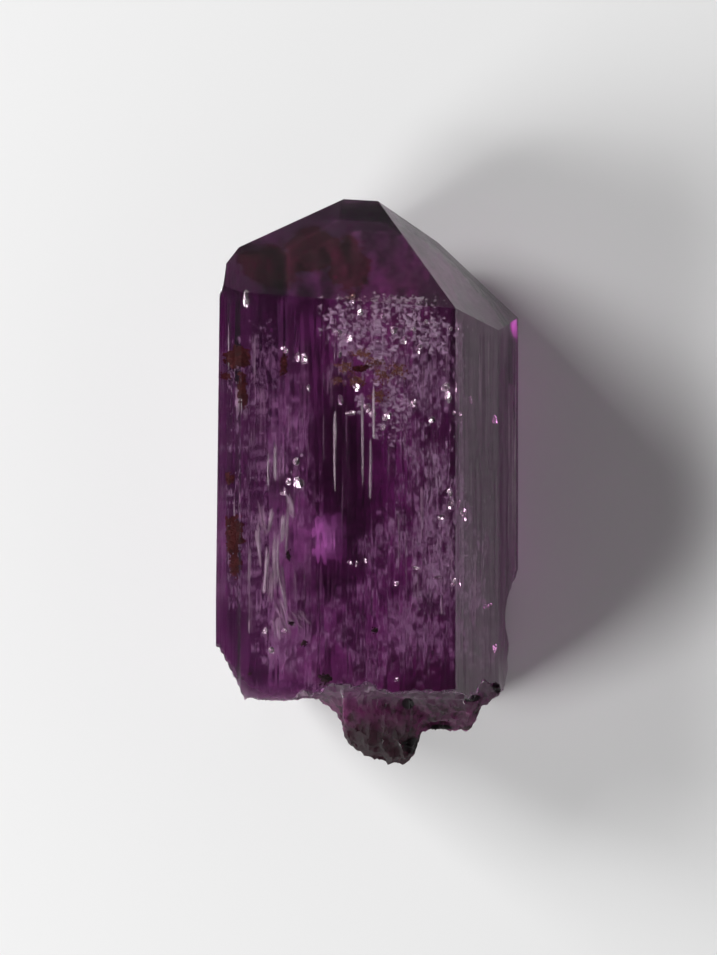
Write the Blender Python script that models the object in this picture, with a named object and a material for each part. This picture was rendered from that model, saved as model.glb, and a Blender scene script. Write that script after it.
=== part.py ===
"""One crystal of imperial topaz: a striated prism with a pyramid at one end, broken off at the other.

It lies on a prism face, with its long axis along Y, the pyramid towards +Y and the broken end towards -Y.
Sizes are in millimetres, measured from the prism's axis and from the apex, and become metres in the mesh.
"""

import math
import random

import bmesh
import bpy
from mathutils import Vector, geometry, noise

MM = 0.001
STONE_NAME = "topaz_crystal"
SEED = 7

# Driving dimensions
LENGTH = 40.0
THICKNESS = 14.0
AXIS_HEIGHT = THICKNESS / 2

# Each prism face is an azimuth and a distance from the axis.
# The azimuth turns from straight up towards +X, by the angles between topaz's own faces.
PRISM_FACES = (
    (0.0, AXIS_HEIGHT),
    (55.7, 8.86),
    (77.9, 9.36),
    (117.85, 11.70),
    (161.25, 8.94),
    (180.0, AXIS_HEIGHT),
    (235.7, 8.98),
    (254.45, 8.53),
    (341.25, 9.49),
)
RESTING_FACE = 5

# Points that the pyramid's faces pass through: X, distance down from the apex, height over the axis
RIDGE_END = (-1.80, 0.0, -0.21)
FRONT_CORNER = (5.95, 7.92, 7.0)
RIGHT_CORNER = (10.63, 8.23, -4.92)
LEFT_CORNER = (-9.09, 3.57, 0.0)
# Each face of the pyramid is an azimuth, a slope away from the base plane and one of those points.
PYRAMID_FACES = (
    (4.2, 45.6, FRONT_CORNER),
    (69.95, 46.1, FRONT_CORNER),
    (175.8, 32.1, RIDGE_END),
    (157.0, 62.4, RIGHT_CORNER),
    (235.7, 43.6, RIDGE_END),
    (270.0, 54.0, LEFT_CORNER),
)

# Striations: flat lands along the prism, side by side, each sunk a little
LAND_WIDTH = (0.40, 1.15)
LAND_DEPTH = 0.15
RISER_WIDTH = 0.07
EDGE_LAND = 0.35
LAND_FADE = 0.11
RESTING_GROOVE_DEPTH = 0.08

# Distances down from the apex at which the prism has a ring of points
RINGS = (-1.0, 4.7, 6.3, 6.6, 8.0, 11.0, 14.0, 17.5, 21.0, 24.0, 25.4, 26.6, 27.4, 28.4)
RINGS_TO_BREAK = (0.2, 0.4, 0.6, 0.8, 1.0)

# How far the sides reach, as distance down from the apex and X
LEFT_SIDE = ((4.7, -9.93), (6.3, -10.10), (6.6, -10.37), (28.0, -10.63), (LENGTH, -10.63))
RIGHT_SIDE = (
    (26.6, 10.63),
    (27.4, 10.14),
    (28.4, 9.75),
    (29.1, 9.66),
    (30.5, 9.68),
    (31.7, 9.94),
    (33.2, 9.82),
    (34.8, 9.50),
)
CHIP_START = 26.6
CHIP_START_VARIES = 1.2
CHIP_ROUGHNESS = 0.30
CHIP_ROUGHNESS_SCALE = 0.45

# The broken end's outline without its lump, as X and distance down from the apex.
# The two level stretches are steps of the cleavage that crosses the prism.
BREAK = (
    (-10.63, 31.7),
    (-10.40, 31.9),
    (-9.38, 33.7),
    (-9.02, 34.4),
    (-8.64, 35.35),
    (-4.30, 35.40),
    (-3.08, 36.00),
    (-2.32, 36.67),
    (-1.87, 37.35),
    (3.60, 37.90),
    (6.95, 37.90),
    (7.50, 37.35),
    (7.62, 36.80),
    (8.00, 36.00),
    (9.30, 35.25),
    (9.60, 34.60),
    (10.63, 34.2),
)
BREAK_GRID = 0.52
BREAK_MARGIN = 0.28
# On the right the break slopes back from the front face's edge.
SLOPE_FROM = (-4.4, -1.6)
SLOPE_DEPTH = 2.9
SLOPE_HEIGHTS = (0.6, 7.0)
# It also rises a little towards the resting face.
UNDER_SLOPE_DEPTH = 1.3
UNDER_SLOPE_HEIGHTS = (-2.5, -7.0)
CLEAVAGE_STEP = 0.55
CLEAVAGE_SHARE = 0.62
BREAK_ROUGHNESS = 0.55
BREAK_ROUGHNESS_SCALE = 0.36
SHARP_SHARE = 0.30

# The lump on the broken end: its outline, as X and distance down from the apex, and its height range
LUMP = (
    (-1.95, 37.30),
    (-1.80, 38.10),
    (-0.90, 39.00),
    (0.26, 39.55),
    (1.49, LENGTH),
    (2.54, LENGTH),
    (3.28, 39.25),
    (3.50, 38.50),
    (3.75, 37.60),
)
LUMP_HEIGHT = 2.2
LUMP_HALF_DEPTH = 3.1
LUMP_LEAN = -0.35
LUMP_KNOBS = 1.1


def on_line(points, x):
    """The height at x of a line through points that are in order of x."""
    if x <= points[0][0]:
        return points[0][1]
    for (x0, y0), (x1, y1) in zip(points, points[1:]):
        if x <= x1:
            return y0 + (y1 - y0) * (x - x0) / (x1 - x0)
    return points[-1][1]


def eased(x, start, end):
    """0 before start and 1 past end, with a smooth turn between."""
    share = min(1.0, max(0.0, (x - start) / (end - start)))
    return share * share * (3 - 2 * share)


def face_normal(azimuth):
    """A prism face's outward normal across the axis, as X and height."""
    return Vector((math.sin(math.radians(azimuth)), math.cos(math.radians(azimuth))))


def prism_corner(first, second):
    """Where two prism faces meet, as X and height over the axis."""
    (a, reach_a), (b, reach_b) = PRISM_FACES[first], PRISM_FACES[second]
    normal_a, normal_b = face_normal(a), face_normal(b)
    area = normal_a.x * normal_b.y - normal_a.y * normal_b.x
    x = (reach_a * normal_b.y - reach_b * normal_a.y) / area
    height = (reach_b * normal_a.x - reach_a * normal_b.x) / area
    return Vector((x, height))


def land_edges(length, chance):
    """Where one land ends and the next begins along a face of this length."""
    edges = [EDGE_LAND]
    while length - edges[-1] > EDGE_LAND + LAND_WIDTH[1]:
        edges.append(edges[-1] + chance.uniform(*LAND_WIDTH))
    if length - edges[-1] > 2 * EDGE_LAND:
        edges.append(length - EDGE_LAND)
    return edges


def land_depth(face, land, down):
    """How far a land is sunk. It changes slowly down the prism, so that striations fade in and out."""
    deepest = RESTING_GROOVE_DEPTH if face == RESTING_FACE else LAND_DEPTH
    place = Vector((land * 3.71 + face * 17.3, down * LAND_FADE, face * 5.9))
    depth = 0.5 + 1.1 * noise.noise(place)
    if face == RESTING_FACE and land % 2 == 0:
        return 0.0
    return deepest * min(1.0, max(0.0, depth))


def section(lands, down):
    """The prism's cross-section at a distance down from the apex, as points of X and height."""
    points = []
    for face in range(len(PRISM_FACES)):
        start = prism_corner(face - 1, face)
        end = prism_corner(face, (face + 1) % len(PRISM_FACES))
        along = (end - start).normalized()
        inward = -face_normal(PRISM_FACES[face][0])
        points.append(start)
        depth = 0.0
        for land, edge in enumerate(lands[face]):
            last = land == len(lands[face]) - 1
            next_depth = 0.0 if last else land_depth(face, land, down)
            points.append(start + along * (edge - RISER_WIDTH / 2) + inward * depth)
            points.append(start + along * (edge + RISER_WIDTH / 2) + inward * next_depth)
            depth = next_depth
    return points


def break_down(x, height):
    """How far down from the apex the broken end lies, at a place across the axis."""
    down = on_line(BREAK, x)
    down -= SLOPE_DEPTH * eased(x, *SLOPE_FROM) * eased(height, *SLOPE_HEIGHTS) ** 0.8
    down -= UNDER_SLOPE_DEPTH * eased(-height, *[-h for h in UNDER_SLOPE_HEIGHTS])
    place = Vector((x, height, 3.1)) * BREAK_ROUGHNESS_SCALE
    rough = -abs(noise.noise(place)) - SHARP_SHARE * abs(noise.noise(place * 2.3))
    down += BREAK_ROUGHNESS * rough
    stepped = math.floor(down / CLEAVAGE_STEP) * CLEAVAGE_STEP
    stepped += CLEAVAGE_STEP * eased(down - stepped, 0.5 * CLEAVAGE_STEP, CLEAVAGE_STEP)
    down += CLEAVAGE_SHARE * (stepped - down)
    middle = LUMP_HEIGHT + LUMP_LEAN * (x - LUMP[0][0])
    across = (height - middle) / LUMP_HALF_DEPTH
    if LUMP[0][0] < x < LUMP[-1][0] and abs(across) < 1:
        tip = on_line(LUMP, x)
        knobs = LUMP_KNOBS * noise.noise(Vector((x, height, 5.2)) * 0.9)
        share = 1 - across * across
        root = down - 0.2
        down = max(down, root + (tip - root) * share ** 0.45 - abs(knobs) * min(1.0, abs(across) * 2))
    return min(down, LENGTH)


def side_held(x, height, down):
    """X brought inside the crystal's worn left edge and the chip along its right edge."""
    x = max(x, on_line(LEFT_SIDE, down))
    early = CHIP_START_VARIES * abs(noise.noise(Vector((height * 0.35, 4.4, 1.7))))
    if down > CHIP_START - early:
        place = Vector((down, height, 8.0)) * CHIP_ROUGHNESS_SCALE
        wear = CHIP_ROUGHNESS * abs(noise.noise(place)) * eased(down, CHIP_START, CHIP_START + 1.8)
        x = min(x, on_line(RIGHT_SIDE, down + early) - wear)
    return x


def stone_point(x, height, down):
    """A place in metres, with the prism's axis along Y."""
    return Vector((x, LENGTH / 2 - down, height + AXIS_HEIGHT)) * MM


def add_prism(bm, lands):
    """The prism's wall, from over the apex down to the break. Returns its last ring."""
    rings = []
    for down in RINGS:
        rings.append([
            bm.verts.new(stone_point(side_held(x, height, down), height, down))
            for x, height in section(lands, down)
        ])
    for share in RINGS_TO_BREAK:
        ring = []
        for x, height in section(lands, RINGS[-1]):
            below = RINGS[-1] + share * (break_down(x, height) - RINGS[-1])
            ring.append(bm.verts.new(stone_point(side_held(x, height, below), height, below)))
        rings.append(ring)
    count = len(rings[0])
    for upper, lower in zip(rings, rings[1:]):
        for i in range(count):
            j = (i + 1) % count
            bm.faces.new((upper[i], upper[j], lower[j], lower[i]))
    bm.faces.new(reversed(rings[0]))
    return rings[-1]


def inside(outline, x, height, margin):
    """True if a place lies in the outline and at least margin from its points."""
    turns = False
    for (x0, h0), (x1, h1) in zip(outline, outline[1:] + outline[:1]):
        if math.hypot(x - x0, height - h0) < margin:
            return False
        if (h0 > height) != (h1 > height):
            turns ^= x < x0 + (x1 - x0) * (height - h0) / (h1 - h0)
    return turns


def add_break(bm, ring, chance):
    """The broken end: a net of points across the prism, each at its own distance down."""
    outline = [(v.co.x / MM, v.co.z / MM - AXIS_HEIGHT) for v in ring]
    places = list(outline)
    reach = int(max(abs(x) for x, _ in outline) / BREAK_GRID) + 1
    for i in range(-reach, reach + 1):
        for j in range(-reach, reach + 1):
            x = (i + chance.uniform(-0.25, 0.25)) * BREAK_GRID
            height = (j + chance.uniform(-0.25, 0.25)) * BREAK_GRID
            if inside(outline, x, height, BREAK_MARGIN):
                places.append((x, height))
    edges = [(i, (i + 1) % len(outline)) for i in range(len(outline))]
    points, _, faces, origins, _, _ = geometry.delaunay_2d_cdt(
        [Vector(p) for p in places], edges, [], 1, 1e-4
    )
    verts = []
    for point, origin in zip(points, origins):
        if origin and origin[0] < len(ring):
            verts.append(ring[origin[0]])
        else:
            verts.append(bm.verts.new(stone_point(*point, break_down(*point))))
    for face in faces:
        bm.faces.new([verts[i] for i in face])


def cut_pyramid(bm):
    """Cuts each face of the pyramid as one flat plane across the striated prism."""
    for azimuth, slope, (x, down, height) in PYRAMID_FACES:
        across = face_normal(azimuth) * math.sin(math.radians(slope))
        normal = Vector((across.x, math.cos(math.radians(slope)), across.y))
        cut = bmesh.ops.bisect_plane(
            bm,
            geom=bm.verts[:] + bm.edges[:] + bm.faces[:],
            dist=1e-7,
            plane_co=stone_point(x, height, down),
            plane_no=normal,
            clear_outer=True,
        )
        rim = [e for e in cut["geom_cut"] if isinstance(e, bmesh.types.BMEdge) and e.is_boundary]
        bmesh.ops.edgeloop_fill(bm, edges=rim)


def centre_on_origin(mesh):
    """Puts the origin under the middle of the crystal, on the surface that it rests on."""
    for axis, share in ((0, 0.5), (1, 0.5), (2, 0.0)):
        values = [v.co[axis] for v in mesh.vertices]
        low, high = min(values), max(values)
        for vertex in mesh.vertices:
            vertex.co[axis] -= low + share * (high - low)


def topaz_material():
    """Deep purple see-through topaz."""
    material = bpy.data.materials.new("imperial_topaz")
    material.use_nodes = True
    shader = material.node_tree.nodes["Principled BSDF"]
    shader.inputs["Base Color"].default_value = (0.075, 0.02, 0.085, 1.0)
    shader.inputs["Roughness"].default_value = 0.12
    shader.inputs["Metallic"].default_value = 0.0
    shader.inputs["IOR"].default_value = 1.62
    return material


def make_crystal():
    """The whole crystal as one closed solid."""
    chance = random.Random(SEED)
    lands = []
    for face in range(len(PRISM_FACES)):
        start = prism_corner(face - 1, face)
        end = prism_corner(face, (face + 1) % len(PRISM_FACES))
        lands.append(land_edges((end - start).length, chance))
    bm = bmesh.new()
    last_ring = add_prism(bm, lands)
    add_break(bm, last_ring, chance)
    cut_pyramid(bm)
    bmesh.ops.triangulate(bm, faces=[f for f in bm.faces if len(f.verts) > 4])
    bmesh.ops.recalc_face_normals(bm, faces=bm.faces[:])
    mesh = bpy.data.meshes.new(STONE_NAME)
    bm.to_mesh(mesh)
    bm.free()
    centre_on_origin(mesh)
    mesh.materials.append(topaz_material())
    crystal = bpy.data.objects.new(STONE_NAME, mesh)
    bpy.context.scene.collection.objects.link(crystal)
    return crystal


def main():
    for obj in list(bpy.data.objects):
        bpy.data.objects.remove(obj)
    make_crystal()


main()
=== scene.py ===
# %% [markdown]
# Imperial topaz. The stone is one natural crystal: a stubby prism with a flat-faced point at one end,
# broken off at the other. It is clear and deeply coloured, so most of what the eye sees is inside it:
# healed cracks, growth tubes and specks of iron. The lesson builds the outside first, then fills it.

import math
import random

import bmesh
import bpy
import numpy as np
from mathutils import Euler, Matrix, Vector, geometry, noise


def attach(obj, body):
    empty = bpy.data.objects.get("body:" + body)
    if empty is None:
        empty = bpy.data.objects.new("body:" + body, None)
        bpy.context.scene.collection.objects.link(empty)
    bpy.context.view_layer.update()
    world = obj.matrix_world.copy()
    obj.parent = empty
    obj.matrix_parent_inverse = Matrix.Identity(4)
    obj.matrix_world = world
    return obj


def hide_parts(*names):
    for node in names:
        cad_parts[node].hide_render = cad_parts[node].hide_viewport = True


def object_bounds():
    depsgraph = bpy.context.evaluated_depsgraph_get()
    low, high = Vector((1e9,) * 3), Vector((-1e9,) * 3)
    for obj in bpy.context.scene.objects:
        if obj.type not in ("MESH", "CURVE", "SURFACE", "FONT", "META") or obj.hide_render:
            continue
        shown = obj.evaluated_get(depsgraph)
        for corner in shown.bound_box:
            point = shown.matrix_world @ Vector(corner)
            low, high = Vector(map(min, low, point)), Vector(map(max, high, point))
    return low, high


MM = 0.001
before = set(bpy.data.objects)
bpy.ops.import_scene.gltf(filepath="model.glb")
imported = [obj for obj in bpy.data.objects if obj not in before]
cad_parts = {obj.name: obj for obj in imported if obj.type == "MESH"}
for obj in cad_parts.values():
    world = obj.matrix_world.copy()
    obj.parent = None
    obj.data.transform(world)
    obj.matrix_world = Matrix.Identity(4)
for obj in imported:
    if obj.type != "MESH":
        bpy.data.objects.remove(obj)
cad_low, cad_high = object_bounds()
WIDTH, LENGTH, THICKNESS = (size / MM for size in cad_high - cad_low)
AXIS_HEIGHT = THICKNESS / 2
print(f"CAD box {WIDTH:.1f} x {LENGTH:.1f} x {THICKNESS:.1f} mm")


# %% [markdown]
# Places in the stone. Everything is given as a jeweller would measure it: X across, the height over the
# prism's axis, and the distance down from the apex.


# %% Helpers for places
def stone_point(x, height, down):
    """A place in metres from X, height over the axis and distance down from the apex, all in mm."""
    return Vector((x, LENGTH / 2 - down, height + AXIS_HEIGHT)) * MM


def on_line(points, x):
    """The height at x of a line through points that are in order of x."""
    if x <= points[0][0]:
        return points[0][1]
    for (x0, y0), (x1, y1) in zip(points, points[1:]):
        if x <= x1:
            return y0 + (y1 - y0) * (x - x0) / (x1 - x0)
    return points[-1][1]


def eased(x, start, end):
    """0 before start and 1 past end, with a smooth turn between."""
    share = min(1.0, max(0.0, (x - start) / (end - start)))
    return share * share * (3 - 2 * share)


# %% [markdown]
# The outline of the prism. A topaz prism has faces at fixed angles, so nine azimuths and nine distances
# from the axis give its whole cross-section. The visible crystal repeats the frame's own faces, with a
# net fine enough to carve striations into.

# %% Prism faces: azimuth from straight up towards +X, and distance from the axis in mm
PRISM_FACES = (
    (0.0, AXIS_HEIGHT),
    (55.7, 8.86),
    (77.9, 9.36),
    (117.85, 11.70),
    (161.25, 8.94),
    (180.0, AXIS_HEIGHT),
    (235.7, 8.98),
    (254.45, 8.53),
    (341.25, 9.49),
)
COLUMN = 0.085


def face_normal(azimuth):
    """A prism face's outward normal across the axis, as X and height."""
    return Vector((math.sin(math.radians(azimuth)), math.cos(math.radians(azimuth))))


def prism_corner(first, second):
    """Where two prism faces meet, as X and height over the axis."""
    (a, reach_a), (b, reach_b) = PRISM_FACES[first], PRISM_FACES[second]
    normal_a, normal_b = face_normal(a), face_normal(b)
    area = normal_a.x * normal_b.y - normal_a.y * normal_b.x
    x = (reach_a * normal_b.y - reach_b * normal_a.y) / area
    height = (reach_b * normal_a.x - reach_a * normal_b.x) / area
    return Vector((x, height))


CORNERS = [prism_corner(face - 1, face) for face in range(len(PRISM_FACES))]


def front_height(x):
    """How high over the axis the prism's upper faces lie at X."""
    normals = [(face_normal(azimuth), reach) for azimuth, reach in PRISM_FACES]
    return min((reach - normal.x * x) / normal.y for normal, reach in normals if normal.y > 0.1)


def under_front(x, down, depth):
    """A place in metres from X, distance down from the apex and depth under the upper faces, in mm."""
    return stone_point(x, front_height(x) - depth, down)


def prism_outline():
    """Points all round the prism, one for each column of the net."""
    outline = []
    for start, end in zip(CORNERS, CORNERS[1:] + CORNERS[:1]):
        columns = max(2, round((end - start).length / COLUMN))
        outline += [start.lerp(end, i / columns) for i in range(columns)]
    return outline


OUTLINE = prism_outline()
print(f"prism outline: {len(OUTLINE)} columns")


# %% [markdown]
# The worn and broken parts. The left edge flares a little, a chip runs along the lower right edge, and
# the lower end broke off in steps of the cleavage that crosses every topaz. A height field across the
# prism gives the break: each place has its own distance down from the apex.

# %% Worn edges and the break, in mm
LEFT_SIDE = ((4.7, -9.93), (6.3, -10.10), (6.6, -10.37), (28.0, -10.629), (LENGTH, -10.629))
RIGHT_SIDE = (
    (26.6, 10.63),
    (27.4, 10.14),
    (28.4, 9.75),
    (29.1, 9.66),
    (30.5, 9.68),
    (31.7, 9.94),
    (33.2, 9.82),
    (34.8, 9.50),
)
CHIP_START = 26.6
CHIP_START_VARIES = 1.2
CHIP_ROUGHNESS = 0.30
CHIP_ROUGHNESS_SCALE = 0.45

BREAK = (
    (-10.63, 31.7),
    (-10.40, 31.9),
    (-9.38, 33.7),
    (-9.02, 34.4),
    (-8.64, 35.35),
    (-4.30, 35.40),
    (-3.08, 36.00),
    (-2.32, 36.67),
    (-1.87, 37.35),
    (3.60, 37.90),
    (6.95, 37.90),
    (7.50, 37.35),
    (7.62, 36.80),
    (8.00, 36.00),
    (9.30, 35.25),
    (9.60, 34.60),
    (10.63, 34.2),
)
SLOPE_FROM = (-4.4, -1.6)
SLOPE_DEPTH = 2.9
SLOPE_HEIGHTS = (0.6, 7.0)
UNDER_SLOPE_DEPTH = 1.3
UNDER_SLOPE_HEIGHTS = (-2.5, -7.0)
CLEAVAGE_STEP = 0.55
CLEAVAGE_SHARE = 0.62
BREAK_ROUGHNESS = 0.55
BREAK_ROUGHNESS_SCALE = 0.36
SHARP_SHARE = 0.30
LUMP = (
    (-1.95, 37.30),
    (-1.80, 38.10),
    (-0.90, 39.00),
    (0.26, 39.55),
    (1.49, LENGTH),
    (2.54, LENGTH),
    (3.28, 39.25),
    (3.50, 38.50),
    (3.75, 37.60),
)
LUMP_HEIGHT = 2.2
LUMP_HALF_DEPTH = 3.1
LUMP_LEAN = -0.35
LUMP_KNOBS = 1.1
FINE_STEP = 0.16
FINE_ROUGHNESS = 0.22
FINE_ROUGHNESS_SCALE = 1.3
# Each layer of a rough surface: its share, and how much finer it is than the first.
RIDGE_LAYERS = ((1, 1), (0.5, 2.3), (0.25, 5.1))


def break_down(x, height):
    """How far down from the apex the broken end lies, at a place across the axis."""
    down = on_line(BREAK, x)
    down -= SLOPE_DEPTH * eased(x, *SLOPE_FROM) * eased(height, *SLOPE_HEIGHTS) ** 0.8
    down -= UNDER_SLOPE_DEPTH * eased(-height, *[-h for h in UNDER_SLOPE_HEIGHTS])
    place = Vector((x, height, 3.1)) * BREAK_ROUGHNESS_SCALE
    rough = -abs(noise.noise(place)) - SHARP_SHARE * abs(noise.noise(place * 2.3))
    down += BREAK_ROUGHNESS * rough
    stepped = math.floor(down / CLEAVAGE_STEP) * CLEAVAGE_STEP
    stepped += CLEAVAGE_STEP * eased(down - stepped, 0.5 * CLEAVAGE_STEP, CLEAVAGE_STEP)
    down += CLEAVAGE_SHARE * (stepped - down)
    middle = LUMP_HEIGHT + LUMP_LEAN * (x - LUMP[0][0])
    across = (height - middle) / LUMP_HALF_DEPTH
    if LUMP[0][0] < x < LUMP[-1][0] and abs(across) < 1:
        tip = on_line(LUMP, x)
        knobs = LUMP_KNOBS * noise.noise(Vector((x, height, 5.2)) * 0.9)
        share = 1 - across * across
        root = down - 0.2
        down = max(down, root + (tip - root) * share ** 0.45 - abs(knobs) * min(1.0, abs(across) * 2))
    return min(down, LENGTH)


def fine_break_down(x, height):
    """The break with its small steps, splinters and pits, which stay inside the frame's solid."""
    place = Vector((x, height, 1.7)) * FINE_ROUGHNESS_SCALE
    ridges = sum(share * abs(noise.noise(place * finer)) for share, finer in RIDGE_LAYERS)
    down = break_down(x, height) - FINE_ROUGHNESS * ridges
    stepped = math.floor(down / FINE_STEP) * FINE_STEP
    return 0.45 * down + 0.55 * stepped


def side_held(x, height, down):
    """X brought inside the crystal's worn left edge and the chip along its right edge."""
    x = max(x, on_line(LEFT_SIDE, down))
    early = CHIP_START_VARIES * abs(noise.noise(Vector((height * 0.35, 4.4, 1.7))))
    if down > CHIP_START - early:
        place = Vector((down, height, 8.0)) * CHIP_ROUGHNESS_SCALE
        wear = abs(noise.noise(place)) + 0.3 * abs(noise.noise(place * 4.0))
        wear *= CHIP_ROUGHNESS * eased(down, CHIP_START, CHIP_START + 1.8)
        x = min(x, on_line(RIGHT_SIDE, down + early) - wear)
    return x


# %% [markdown]
# The net of the crystal. A bmesh wall runs down the prism ring by ring. The break gets a net of small
# triangles across it, and six flat cuts make the pyramid, as growth does: each face is one plane.
# Geometry Nodes could loft the wall too, but the cuts and the break need points of their own.

# %% Pyramid faces: azimuth, slope away from the base plane, and a point of each in mm
RIDGE_END = (-1.80, 0.0015, -0.21)
FRONT_CORNER = (5.95, 7.92, 7.0)
RIGHT_CORNER = (10.63, 8.23, -4.92)
LEFT_CORNER = (-9.09, 3.57, 0.0)
PYRAMID_FACES = (
    (4.2, 45.6, FRONT_CORNER),
    (69.95, 46.1, FRONT_CORNER),
    (175.8, 32.1, RIDGE_END),
    (157.0, 62.4, RIGHT_CORNER),
    (235.7, 43.6, RIDGE_END),
    (270.0, 54.0, LEFT_CORNER),
)
FIRST_RING = -1.0
WALL_FROM = 2.6
WALL_TO = 28.4
RING_STEP = 0.62
RINGS_TO_BREAK = 13
NET_SPACING = 0.18
NET_MARGIN = 0.11
NET_SHAKE = 0.28


def pyramid_plane(azimuth, slope, corner):
    """A pyramid face as a point on it and its outward normal."""
    across = face_normal(azimuth) * math.sin(math.radians(slope))
    x, down, height = corner
    return stone_point(x, height, down), Vector((across.x, math.cos(math.radians(slope)), across.y))


def net_places(rim, spacing, chance):
    """Shaken grid places inside a rim, none too near the rim's own points."""
    rim = np.array(rim)
    low, high = rim.min(axis=0), rim.max(axis=0)
    columns, rows = ((high - low) / spacing).astype(int) + 1
    grid = np.stack(np.meshgrid(np.arange(columns), np.arange(rows)), axis=-1).reshape(-1, 2)
    shake = np.array([(chance.uniform(-1, 1), chance.uniform(-1, 1)) for _ in grid]) * NET_SHAKE
    places = low + (grid + shake) * spacing
    inside = np.zeros(len(places), bool)
    near = np.zeros(len(places), bool)
    for (x0, y0), (x1, y1) in zip(rim, np.roll(rim, -1, axis=0)):
        near |= np.hypot(places[:, 0] - x0, places[:, 1] - y0) < NET_MARGIN * spacing / NET_SPACING
        if y0 != y1:
            crosses = (y0 > places[:, 1]) != (y1 > places[:, 1])
            inside ^= crosses & (places[:, 0] < x0 + (x1 - x0) * (places[:, 1] - y0) / (y1 - y0))
    return [Vector(place) for place in places[inside & ~near]]


def fill_with_net(bm, verts, rim, spacing, chance, to_point):
    """Fills a rim with small triangles. to_point turns a place on the net into a point in space."""
    inner = net_places(rim, spacing, chance)
    edges = [(i, (i + 1) % len(rim)) for i in range(len(rim))]
    rim_places = [Vector(place) for place in rim]
    points, _, faces, origins, _, _ = geometry.delaunay_2d_cdt(rim_places + inner, edges, [], 1, 1e-6)
    made = [
        verts[origin[0]] if origin and origin[0] < len(verts) else bm.verts.new(to_point(point))
        for point, origin in zip(points, origins)
    ]
    return [bm.faces.new([made[i] for i in face]) for face in faces]


def wall_ring(bm, down_at):
    """One ring of the wall. down_at gives each column's distance down from the apex."""
    ring = []
    for x, height in OUTLINE:
        down = down_at(x, height)
        ring.append(bm.verts.new(stone_point(side_held(x, height, down), height, down)))
    return ring


def build_wall(bm):
    """The prism's wall, from over the apex down to the break."""
    downs = [FIRST_RING, *np.arange(WALL_FROM, WALL_TO, RING_STEP), WALL_TO]
    rings = [wall_ring(bm, lambda x, height: float(down)) for down in downs]
    ends = {(x, height): fine_break_down(x, height) for x, height in map(tuple, OUTLINE)}
    for i in range(1, RINGS_TO_BREAK + 1):
        share = i / RINGS_TO_BREAK
        rings.append(wall_ring(bm, lambda x, h: WALL_TO + share * (ends[x, h] - WALL_TO)))
    for upper, lower in zip(rings, rings[1:]):
        for i, j in zip(range(len(OUTLINE)), [*range(1, len(OUTLINE)), 0]):
            bm.faces.new((upper[i], upper[j], lower[j], lower[i]))
    bm.faces.new(reversed(rings[0]))
    return rings[-1]


def cut_pyramid(bm):
    """Cuts each pyramid face as one flat plane and closes the cut."""
    for face in PYRAMID_FACES:
        point, normal = pyramid_plane(*face)
        cut = bmesh.ops.bisect_plane(
            bm,
            geom=bm.verts[:] + bm.edges[:] + bm.faces[:],
            dist=1e-8,
            plane_co=point,
            plane_no=normal,
            clear_outer=True,
        )
        rim = [e for e in cut["geom_cut"] if isinstance(e, bmesh.types.BMEdge) and e.is_boundary]
        bmesh.ops.edgeloop_fill(bm, edges=rim)


def net_over_pyramid(bm, mark, chance):
    """Gives each flat pyramid face a net of its own, so that it can carry growth marks."""
    for face in [f for f in bm.faces if len(f.verts) > 8]:
        verts = list(face.verts)
        origin = verts[0].co.copy()
        side = face.normal.orthogonal().normalized()
        other = face.normal.cross(side)
        rim = [((v.co - origin).dot(side) / MM, (v.co - origin).dot(other) / MM) for v in verts]
        bm.faces.remove(face)
        made = fill_with_net(
            bm, verts, rim, 0.26, chance, lambda place: origin + (side * place.x + other * place.y) * MM
        )
        for new in made:
            new[mark] = 1.0


# %% Rough skin of the break
BREAK_EDGE = 0.30
DENT_DEPTH = 0.42
DENT_SCALE = 0.75
DENT_LAYERS = ((1, 1), (0.45, 2.4), (0.2, 6))
# Hollows in the front of the break, dented inward here and painted near-black in the material as painted
# shade: X and distance down of the middle, and half size each way, in mm.
HOLLOWS = (
    (3.0, 38.4, 0.75, 0.65), (5.0, 37.2, 0.9, 0.28), (7.2, 35.0, 0.7, 0.3), (9.0, 34.2, 0.4, 0.7),
    (2.7, 35.4, 0.5, 0.45), (-3.0, 33.6, 0.55, 0.4), (-1.4, 38.6, 0.4, 0.3), (0.6, 39.6, 0.5, 0.25),
)
HOLLOW_STEEPNESS = 0.9


def hollow_depth(x, height, down):
    """How deep the hollows of the break reach inward at a place, all in mm."""
    if height < -3:
        return 0.0
    depth = 0.0
    for middle_x, middle_down, half_x, half_down in HOLLOWS:
        off = ((x - middle_x) / half_x) ** 2 + ((down - middle_down) / half_down) ** 2
        depth = max(depth, HOLLOW_STEEPNESS * half_x * math.exp(-off))
    return depth


def roughen_break(bm, broken):
    """Splits the long triangles of the break's steep parts, then dents the whole break inward."""
    for _ in range(3):
        long_edges = [
            edge for edge in bm.edges
            if edge.calc_length() > BREAK_EDGE * MM and all(face[broken] for face in edge.link_faces)
        ]
        bmesh.ops.subdivide_edges(bm, edges=long_edges, cuts=1)
        bmesh.ops.triangulate(bm, faces=[f for f in bm.faces if f[broken] and len(f.verts) > 3])
    bmesh.ops.recalc_face_normals(bm, faces=bm.faces[:])
    bm.normal_update()
    inner = [v for v in bm.verts if v.link_faces and all(face[broken] for face in v.link_faces)]
    moves = []
    for vertex in inner:
        place = vertex.co / MM * DENT_SCALE
        dent = sum(share * abs(noise.noise(place * finer)) for share, finer in DENT_LAYERS)
        x, y, z = vertex.co / MM
        deep = DENT_DEPTH * dent
        if vertex.normal.z > 0.3:
            deep += hollow_depth(x, z - AXIS_HEIGHT, LENGTH / 2 - y)
        moves.append(vertex.normal * (-deep * MM))
    for vertex, move in zip(inner, moves):
        vertex.co += move


# %% Crystal mesh
CRYSTAL_SEED = 11


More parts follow.
